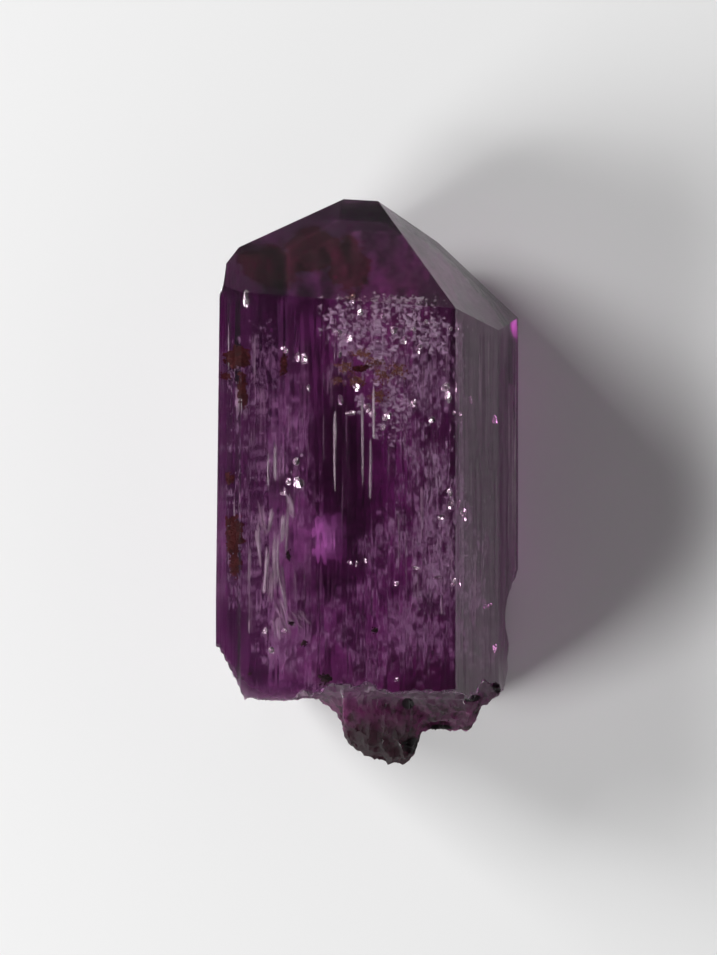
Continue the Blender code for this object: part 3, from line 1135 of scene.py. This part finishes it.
# %% Veils: middle, half size, slopes across and down, and bulge of each sheet, in mm
VEIL_SHEETS = (
    ((3.9, 20.5, 2.6), (2.2, 10.5), (0.10, 0.02), 0.3),
    ((4.6, 23.0, 2.0), (1.5, 5.6), (0.0, 0.02), 0.2),
    ((3.0, 32.6, 3.0), (1.4, 2.0), (0.0, 0.02), 0.2),
    ((3.6, 26.5, 2.8), (4.0, 6.0), (-0.10, 0.05), 0.3),
    ((0.5, 31.0, 3.4), (8.0, 3.6), (0.05, -0.05), 0.4),
    ((-7.0, 20.5, 4.0), (3.0, 11.0), (-0.05, 0.02), 0.4),
    ((1.8, 11.2, 2.2), (4.4, 3.0), (0.05, 0.10), 0.2),
)
scatter("veils", VEIL_SHEETS, {
    "Per Square": 40.0,
    "Clump Size": 2.4,
    "Bareness": 0.38,
    "Softness": 0.34,
    "Smallest": 0.06,
    "Largest": 0.23,
    "Stretch": 4.6,
    "Flatness": 0.2,
    "Scatter": 0.7,
    "Tilt": 0.22,
    "Spin": 0.08,
    "Material": WISP,
})

# %% Specks of healed cracks nearer the front
SPECK_SHEETS = (
    ((3.8, 21.0, 1.5), (2.1, 9.0), (0.10, 0.05), 0.3),
    ((7.0, 23.5, 1.2), (1.4, 5.0), (0.0, 0.05), 0.2),
    ((3.2, 26.5, 1.6), (3.6, 5.0), (-0.10, 0.05), 0.3),
    ((4.2, 13.5, 1.3), (1.7, 4.0), (0.05, 0.05), 0.2),
    ((-7.0, 17.0, 1.9), (2.2, 9.0), (-0.05, 0.0), 0.3),
    ((1.5, 11.5, 1.4), (4.0, 2.8), (0.05, 0.10), 0.2),
)
scatter("healed_crack_specks", SPECK_SHEETS, {
    "Per Square": 16.0,
    "Clump Size": 1.7,
    "Bareness": 0.46,
    "Softness": 0.20,
    "Smallest": 0.04,
    "Largest": 0.14,
    "Stretch": 2.0,
    "Flatness": 0.3,
    "Scatter": 0.6,
    "Tilt": 0.4,
    "Spin": 0.3,
    "Material": SPECK,
})

# %% Iron-tinted wisps in the band below the pyramid
BAND_SHEETS = (
    ((1.5, 9.4, 1.5), (5.2, 2.2), (0.0, 0.02), 0.1),
    ((1.2, 13.8, 1.6), (2.0, 3.6), (0.0, 0.03), 0.1),
)
scatter("tinted_wisps", BAND_SHEETS, {
    "Per Square": 40.0,
    "Clump Size": 1.6,
    "Bareness": 0.36,
    "Softness": 0.30,
    "Smallest": 0.10,
    "Largest": 0.50,
    "Stretch": 1.3,
    "Flatness": 0.1,
    "Scatter": 0.3,
    "Tilt": 0.35,
    "Spin": 3.1,
    "Material": STAINED_WISP,
})

# %% Flashing cracks: many small mirrors just below the pyramid
FLASH_SHEETS = (
    ((2.2, 9.6, 1.0), (4.4, 1.7), (0.05, 0.15), 0.2),
    ((0.9, 13.2, 1.2), (2.2, 3.2), (-0.1, 0.1), 0.3),
    ((6.0, 21.4, 1.2), (1.1, 1.6), (0.05, 0.0), 0.2),
    ((-5.0, 19.3, 1.2), (0.9, 2.2), (0.1, 0.0), 0.2),
)
scatter("flashing_cracks", FLASH_SHEETS, {
    "Per Square": 4.5,
    "Clump Size": 0.9,
    "Bareness": 0.46,
    "Softness": 0.16,
    "Smallest": 0.08,
    "Largest": 0.36,
    "Stretch": 1.1,
    "Flatness": 0.06,
    "Scatter": 0.4,
    "Tilt": 0.35,
    "Spin": 3.1,
    "Material": CRACK_MIRROR,
})


# %% [markdown]
# Single flaws. Some flashes, tubes and stains stand out one by one, so each has its own place. A small
# closed shard with a pointed top and bottom, stretched and turned, does for all of them.

# %% Helper for one shard
def add_shard(bm, middle, size, turn, chance, sides=6):
    """A closed shard: a shaken ring between two points. size is X, Y and Z in mm, turn in degrees."""
    rotation = Euler([math.radians(angle) for angle in turn])
    half = Vector(size) / 2

    def corner(x, y, z):
        place = Vector((x * half.x, y * half.y, z * half.z))
        place.rotate(rotation)
        return bm.verts.new(middle + place * MM)

    ring = []
    for i in range(sides):
        angle = 2 * math.pi * (i + chance.uniform(-0.3, 0.3)) / sides
        reach = chance.uniform(0.75, 1.0)
        ring.append(corner(reach * math.cos(angle), reach * math.sin(angle), chance.uniform(-0.3, 0.3)))
    top = corner(chance.uniform(-0.3, 0.3), chance.uniform(-0.3, 0.3), 1.0)
    bottom = corner(chance.uniform(-0.3, 0.3), chance.uniform(-0.3, 0.3), -1.0)
    for i in range(sides):
        bm.faces.new((ring[i], ring[(i + 1) % sides], top))
        bm.faces.new((ring[(i + 1) % sides], ring[i], bottom))


def finish_flaws(name, bm, material):
    """Turns a bmesh of flaws into a piece inside the stone."""
    lost = drop_outside(bm)
    print(f"{name}: {lost} points dropped that would stick out")
    mesh = bpy.data.meshes.new(name)
    bm.to_mesh(mesh)
    bm.free()
    mesh.materials.append(material)
    piece = bpy.data.objects.new(name, mesh)
    bpy.context.scene.collection.objects.link(piece)
    inside_the_stone(piece)


# %% Bright flashes: X, distance down, width and length in mm
FLASHES = (
    (-1.1, 7.3, 0.3, 0.5), (0.8, 8.5, 0.4, 0.4), (-0.6, 8.1, 0.4, 0.5), (-2.0, 9.6, 0.55, 0.5),
    (-1.4, 10.0, 0.45, 0.45), (1.7, 9.4, 0.5, 0.4), (3.0, 9.3, 0.4, 0.4), (2.4, 10.1, 0.4, 0.4),
    (3.9, 8.8, 0.35, 0.35), (3.4, 10.7, 0.4, 0.4), (5.7, 9.3, 0.3, 0.3), (-2.1, 11.1, 0.3, 0.35),
    (-5.0, 11.3, 0.35, 0.6), (-4.4, 11.4, 0.3, 0.45), (-5.8, 10.8, 0.45, 0.5), (-4.2, 13.4, 0.3, 0.4),
    (-2.0, 14.2, 0.45, 0.7), (-1.3, 15.1, 0.7, 0.3), (-1.0, 13.4, 0.45, 0.4), (0.0, 14.8, 0.5, 0.7),
    (0.2, 15.3, 0.45, 0.5), (0.9, 16.2, 0.4, 0.4), (1.2, 15.4, 0.4, 0.5), (3.1, 14.4, 0.35, 0.4),
    (5.3, 13.3, 0.55, 0.7), (5.4, 14.0, 0.4, 0.8), (6.8, 14.1, 0.3, 0.6), (8.5, 15.6, 0.45, 0.6),
    (6.0, 15.2, 0.5, 0.25), (4.4, 15.6, 0.3, 0.3), (-8.5, 7.4, 0.4, 0.9), (-5.1, 18.6, 0.5, 0.5),
    (-4.8, 20.0, 0.6, 0.7), (-6.0, 20.6, 0.35, 0.4), (-5.6, 19.9, 0.4, 0.4), (5.7, 21.5, 0.35, 0.7),
    (6.2, 22.0, 0.4, 0.7), (4.9, 22.3, 0.5, 0.4), (6.5, 22.4, 0.45, 0.4), (5.6, 20.6, 0.35, 0.4),
    (3.2, 25.9, 0.5, 0.25), (5.9, 26.9, 0.4, 0.35), (4.7, 26.5, 0.7, 0.15), (1.9, 27.0, 0.3, 0.3),
    (-6.8, 31.5, 0.45, 0.4), (-7.2, 30.2, 0.4, 0.35), (-5.9, 30.1, 0.45, 0.5), (8.0, 28.6, 0.5, 0.3),
    (8.5, 31.6, 0.3, 0.7), (-2.9, 34.3, 0.6, 0.35), (1.8, 33.6, 0.3, 0.25), (-1.3, 25.5, 0.3, 0.3),
    (-0.9, 25.6, 0.2, 0.3), (-0.4, 25.4, 0.3, 0.3),
)
FLASH_DEPTH = (0.6, 1.6)
FLASH_LEAN = 16.7
LAMP_WAYS = (-152.5, 152.5)


def make_flashes():
    """The flashes that can be told apart. Each is a flat mirror that leans towards one of the lamps."""
    chance = random.Random(5)
    bm = bmesh.new()
    for x, down, width, length in FLASHES:
        for _ in range(3):
            place = under_front(
                x + chance.uniform(-0.12, 0.12),
                down + chance.uniform(-0.15, 0.15),
                chance.uniform(*FLASH_DEPTH),
            )
            lean = FLASH_LEAN + chance.uniform(-4, 4)
            way = math.radians(chance.choice(LAMP_WAYS) + chance.uniform(-15, 15))
            turn = (-lean * math.sin(way), lean * math.cos(way), chance.uniform(-10, 10))
            share = chance.uniform(0.75, 1.3)
            add_shard(bm, place, (width * share, length * share, 0.12 * width), turn, chance)
    finish_flaws("bright_flashes", bm, CRACK_MIRROR)


make_flashes()

# %% Growth tubes: X, where each starts and ends down the prism, depth and width in mm
TUBES = (
    (-2.4, 14.6, 21.2, 0.8, 0.24), (-0.5, 13.2, 20.6, 0.8, 0.20), (0.1, 16.4, 21.6, 0.9, 0.26),
    (0.3, 13.0, 17.5, 0.7, 0.24), (-7.0, 17.6, 20.6, 0.8, 0.24), (-6.5, 17.0, 20.0, 0.9, 0.16),
    (-4.25, 15.8, 19.5, 1.9, 0.10), (-8.9, 13.6, 15.3, 0.9, 0.10), (-7.9, 9.5, 13.0, 1.6, 0.10),
    (-5.5, 14.5, 17.0, 2.2, 0.08), (1.4, 17.2, 20.0, 2.2, 0.09), (3.6, 20.0, 24.5, 1.9, 0.16),
    (2.0, 21.5, 26.5, 1.6, 0.10), (2.5, 23.0, 27.2, 1.7, 0.10), (5.3, 9.8, 13.0, 1.9, 0.10),
    (7.4, 10.4, 15.0, 1.3, 0.12), (8.0, 9.8, 13.5, 1.1, 0.10), (6.9, 24.0, 30.0, 1.7, 0.09),
    (5.0, 27.6, 29.2, 1.5, 0.14), (-9.3, 20.5, 25.0, 0.9, 0.09), (-8.35, 24.5, 31.0, 1.1, 0.10),
    (-8.35, 29.0, 30.6, 0.8, 0.17), (-7.7, 22.0, 25.5, 1.2, 0.09), (-9.6, 8.6, 12.4, 0.8, 0.09),
)
STRAY_TUBES = 150
# Painted sheen: pale tubes just behind the right strip stand for the bright table that the strip mirrors.
STRIP_SHEEN_TUBES = 16
STRIP_SHEEN_DEPTH = 1.3


def make_tubes():
    """Growth tubes as long thin spindles, the plain ones listed and faint ones at random, and pale ones just
    behind the right strip as painted sheen.
    """
    chance = random.Random(8)
    bm = bmesh.new()
    for x, start, end, depth, width in TUBES:
        place = under_front(x, (start + end) / 2, depth)
        lean = chance.uniform(-0.4, 0.4)
        add_shard(bm, place, (width, end - start, width), (0, 0, lean), chance, sides=8)
    for _ in range(STRAY_TUBES):
        length = chance.uniform(1.0, 6.0)
        side = chance.choice((-1, 1, 1))
        x = side * chance.uniform(1.5, 9.2)
        down = chance.uniform(9.5 + length / 2, 31 - length / 2)
        place = under_front(x, down, chance.uniform(1.6, 4.5))
        width = chance.uniform(0.04, 0.09)
        add_shard(bm, place, (width, length, width), (0, 0, chance.uniform(-0.5, 0.5)), chance)
    # Painted sheen along the right strip.
    for _ in range(STRIP_SHEEN_TUBES):
        length = chance.uniform(5.0, 13.0)
        down = chance.uniform(9.5 + length / 2, 28.5 - length / 2)
        place = under_front(chance.uniform(9.6, 10.45), down, STRIP_SHEEN_DEPTH)
        width = chance.uniform(0.10, 0.26)
        add_shard(bm, place, (width, length, width), (0, 0, 0), chance, sides=8)
    finish_flaws("growth_tubes_and_strip_sheen", bm, TUBE_AND_SHEEN_WHITE)


make_tubes()

# %% Fan of splinters: X, start and end down the prism, depth, width and lean
SPLINTERS = (
    (-5.9, 21.2, 25.2, 1.3, 0.45, -3), (-5.5, 20.4, 22.8, 1.1, 0.35, 12), (-7.9, 22.2, 26.6, 1.5, 0.40, 4),
    (-7.0, 23.6, 28.4, 1.2, 0.45, -6), (-6.4, 22.6, 28.0, 1.0, 0.30, 3), (-5.9, 25.0, 29.6, 1.2, 0.38, 10),
    (-6.9, 25.4, 29.0, 1.6, 0.40, -4), (-6.0, 27.5, 31.0, 1.4, 0.30, 16), (-7.5, 20.8, 24.4, 1.8, 0.35, 8),
    (-5.2, 28.4, 30.6, 1.6, 0.25, 28), (-4.6, 28.6, 30.0, 1.5, 0.20, 36), (-6.8, 21.5, 23.8, 1.2, 0.50, -14),
    (-8.2, 24.0, 27.2, 1.3, 0.28, -3), (-6.5, 29.0, 31.2, 1.3, 0.30, 2),
)


def make_splinters():
    """A comb of bright splinters where the stone cracked along its length."""
    chance = random.Random(3)
    bm = bmesh.new()
    for x, start, end, depth, width, lean in SPLINTERS:
        for part in range(3):
            place = under_front(x + chance.uniform(-0.25, 0.25), (start + end) / 2, depth + 0.2 * part)
            turn = (chance.uniform(-3, 3), chance.uniform(-40, 40), lean + chance.uniform(-3, 3))
            size = (width * chance.uniform(0.3, 0.65), (end - start) * chance.uniform(0.6, 1.0), 0.12)
            add_shard(bm, place, size, turn, chance, sides=7)
    finish_flaws("splinter_fan", bm, TUBE_AND_SHEEN_WHITE)


make_splinters()


# %% Iron stains: X, distance down, width and length in mm
RED_STAINS = (
    (-9.1, 11.3, 1.5, 1.3), (-9.3, 23.6, 0.8, 2.6), (-9.6, 19.7, 0.5, 0.7), (-8.75, 13.6, 0.4, 2.0),
    (-9.9, 12.6, 0.7, 0.4), (-5.9, 11.8, 0.35, 1.4), (-9.2, 25.6, 0.5, 1.8), (-0.8, 12.1, 0.9, 0.35),
    (-0.3, 12.0, 0.5, 0.3), (6.9, 35.0, 0.8, 0.4),
)
OCHRE_STAINS = (
    (-1.7, 12.0, 1.1, 0.9), (0.3, 11.7, 1.2, 0.7), (-0.9, 12.9, 1.4, 0.8), (0.9, 12.6, 1.1, 1.0),
    (-2.2, 12.9, 0.8, 0.6), (2.0, 12.2, 1.2, 0.9), (0.6, 13.9, 1.3, 0.9), (-0.5, 11.1, 1.6, 0.6),
)


def make_stain_and_shade_blots(name, blot_places, material, depth, flakes=110, grain=(0.12, 0.34)):
    """Blots of flat flakes, crowded in the middle of each blot and loose at its rim: iron in a crack, and
    painted shade in the pits.
    """
    chance = random.Random(len(blot_places))
    bm = bmesh.new()
    for x, down, width, length in blot_places:
        for _ in range(flakes):
            place = under_front(
                x + max(-0.6, min(0.6, chance.gauss(0, 0.24))) * width,
                down + max(-0.6, min(0.6, chance.gauss(0, 0.24))) * length,
                depth + chance.uniform(0.0, 0.5),
            )
            size = [chance.uniform(*grain) * (width * length) ** 0.5 for _ in range(2)]
            turn = (chance.uniform(-8, 8), chance.uniform(-12, 12), chance.uniform(-90, 90))
            add_shard(bm, place, (size[0], size[1], 0.06), turn, chance, sides=5)
    finish_flaws(name, bm, material)


make_stain_and_shade_blots("red_iron_stains", RED_STAINS, RED_IRON, 0.55, 170, (0.14, 0.42))
make_stain_and_shade_blots("ochre_iron_stains", OCHRE_STAINS, OCHRE_IRON, 1.0, 90, (0.08, 0.20))

# %% Painted shade in the pits at the broken end, as dark flakes: X, distance down, width and length in mm
PITS = (
    (0.4, 30.2, 0.35, 0.35), (-4.5, 31.1, 0.35, 0.4), (-3.0, 33.6, 0.9, 0.6), (2.7, 35.4, 0.8, 0.7),
    (5.1, 37.2, 1.5, 0.5), (7.2, 35.1, 1.0, 0.5), (9.1, 34.2, 0.5, 0.9), (-5.6, 25.0, 0.3, 0.7),
    (-5.4, 29.7, 0.3, 0.3), (4.1, 37.1, 0.8, 0.4), (-8.3, 33.2, 0.3, 0.2),
)
make_stain_and_shade_blots("pits", PITS, PIT_SHADE, 0.3, 50, (0.20, 0.50))

# %% Painted light: a pale plate that makes the vivid violet window low in the middle
WINDOW = (-2.75, 23.8)
WINDOW_HALF = (1.0, 1.5)
WINDOW_DEPTH = 3.8
WINDOW_ROLLS = ((0.5, 0.5, 1.4), (0.2, 0.15, 0.6))


def window_point(x, down):
    """A place on the pale plate that paints in the window's light, whose rim sinks into the dark."""
    off = abs((x - WINDOW[0]) / WINDOW_HALF[0]) ** 3 + abs((down - WINDOW[1]) / WINDOW_HALF[1]) ** 3
    if off > 1.7 + 1.2 * noise.noise(Vector((x, down, 7.0)) * 1.3):
        return None
    return under_front(x, down, WINDOW_DEPTH + 0.8 * off + rolling(x, down, WINDOW_ROLLS, 1.0))


make_sheet("violet_window_light_plate", ((-4.4, -1.1), (21.6, 26.0)), 0.1, window_point, 0.2, VIOLET_LIGHT_PLATE)


# %% [markdown]
# Light, table and camera. The stone lies on a pale table under soft light from all round, darker
# overhead, where the camera hangs: a face that looks straight up then mirrors little, and the eye sees
# in. The camera looks straight down on the front face, the pyramid at the top of the picture.

# %% Table
TABLE_SIZE = 0.16
TABLE_GAP = 0.04


def make_table():
    """A plain pale tabletop just under the stone."""
    bm = bmesh.new()
    bmesh.ops.create_grid(bm, x_segments=1, y_segments=1, size=TABLE_SIZE / 2)
    bmesh.ops.translate(bm, verts=bm.verts, vec=(0, 0, -TABLE_GAP * MM))
    mesh = bpy.data.meshes.new("table")
    bm.to_mesh(mesh)
    bm.free()
    material, tree, output = new_material("white_laminate")
    shader = add_node(tree, "ShaderNodeBsdfPrincipled", inputs={
        "Base Color": linear("#E4E4E4"), "Roughness": 0.7,
    })
    tree.links.new(shader.outputs[0], output.inputs["Surface"])
    mesh.materials.append(material)
    table = bpy.data.objects.new("table", mesh)
    bpy.context.scene.collection.objects.link(table)


make_table()

# %% Sky light and lamps
SKY_BRIGHT = linear("#CECECE")
SKY_DIM = linear("#5C5C5C")
BRIGHT_SIDE = (0.80, -0.60, 0.0)
ZENITH_SHARE = 0.06


def make_sky():
    """A plain studio dome: brighter to the right and the foot, dim behind the point and overhead."""
    world = bpy.data.worlds.new("studio")
    world.use_nodes = True
    tree = world.node_tree
    tree.nodes.clear()
    way = add_node(tree, "ShaderNodeTexCoord").outputs["Generated"]
    side = add_node(tree, "ShaderNodeVectorMath", {"operation": "DOT_PRODUCT"}, {0: way, 1: BRIGHT_SIDE})
    share = add_node(tree, "ShaderNodeMapRange", {"interpolation_type": "SMOOTHSTEP"}, {
        "Value": side.outputs["Value"], "From Min": -0.9, "From Max": 0.7,
    })
    colour = add_node(tree, "ShaderNodeMix", {"data_type": "RGBA"}, {
        "Factor": share.outputs[0], "A": SKY_DIM, "B": SKY_BRIGHT,
    })
    height = add_node(tree, "ShaderNodeSeparateXYZ", inputs={"Vector": way}).outputs["Z"]
    strength = add_node(tree, "ShaderNodeMapRange", {"interpolation_type": "SMOOTHSTEP"}, {
        "Value": height, "From Min": 0.35, "From Max": 0.92, "To Min": 1.0, "To Max": ZENITH_SHARE,
    })
    background = add_node(tree, "ShaderNodeBackground", inputs={
        "Color": colour.outputs["Result"], "Strength": strength.outputs[0],
    })
    output = tree.nodes.new("ShaderNodeOutputWorld")
    tree.links.new(background.outputs[0], output.inputs["Surface"])
    bpy.context.scene.world = world


def add_lamp(name, place, size, power):
    """A soft square lamp, aimed at the stone."""
    light = bpy.data.lights.new(name, "AREA")
    light.size = size
    light.energy = power
    lamp = bpy.data.objects.new(name, light)
    lamp.location = place
    lamp.rotation_euler = (-Vector(place)).to_track_quat("-Z", "Y").to_euler()
    bpy.context.scene.collection.objects.link(lamp)


make_sky()
add_lamp("foot_lamp", (-0.59, -0.31, 0.34), 0.28, 5.9)
add_lamp("head_lamp", (-0.59, 0.30, 0.34), 0.28, 5.5)
bpy.context.scene.view_settings.view_transform = "Standard"

# %% Camera: the photograph's frame is 717 by 955 pixels
PICTURE = (717, 955)
MM_PER_PIXEL = 0.07005
STONE_MIDDLE_PIXEL = (369.3, 482.9)
LENS = 200.0
SENSOR = 36.0
AIM_HEIGHT = 9.0


def make_camera():
    """A long lens straight over the stone, so that the sides hardly show."""
    camera = bpy.data.objects.new("camera", bpy.data.cameras.new("camera"))
    camera.data.lens = LENS
    camera.data.sensor_width = SENSOR
    distance = PICTURE[1] * MM_PER_PIXEL * LENS / SENSOR
    right = (PICTURE[0] / 2 - STONE_MIDDLE_PIXEL[0]) * MM_PER_PIXEL
    up = (STONE_MIDDLE_PIXEL[1] - PICTURE[1] / 2) * MM_PER_PIXEL
    camera.location = Vector((right, up, AIM_HEIGHT + distance)) * MM
    camera.data.clip_start = 0.01
    bpy.context.scene.collection.objects.link(camera)
    bpy.context.scene.camera = camera
    print(f"camera {distance:.0f} mm over the stone")


make_camera()
